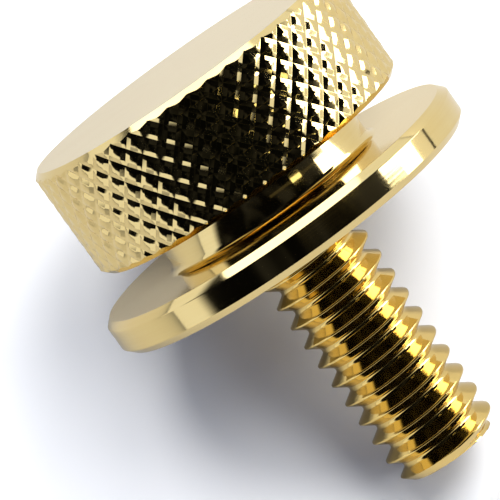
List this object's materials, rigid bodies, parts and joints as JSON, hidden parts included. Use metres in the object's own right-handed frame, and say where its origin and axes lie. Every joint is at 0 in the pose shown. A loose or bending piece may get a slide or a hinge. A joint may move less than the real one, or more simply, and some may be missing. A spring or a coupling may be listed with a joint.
{
  "type": "knurled thumb screw",
  "caption": "Thumb screw with a diamond-knurled head, a smooth neck, a wide thin flange and a coarse threaded shank, to be turned in by hand to hold a seat.",
  "frame": {"origin": "centre of the head's flat face, on which the part stands", "axes": "+Z along the screw's axis from the head to the tip of the thread"},
  "size_m": [0.022, 0.022, 0.0251],
  "materials": {
    "plated_brass": "polished gold plate"
  },
  "bodies": {
    "root": {"seat_knob": "plated_brass"}
  },
  "joints": []
}
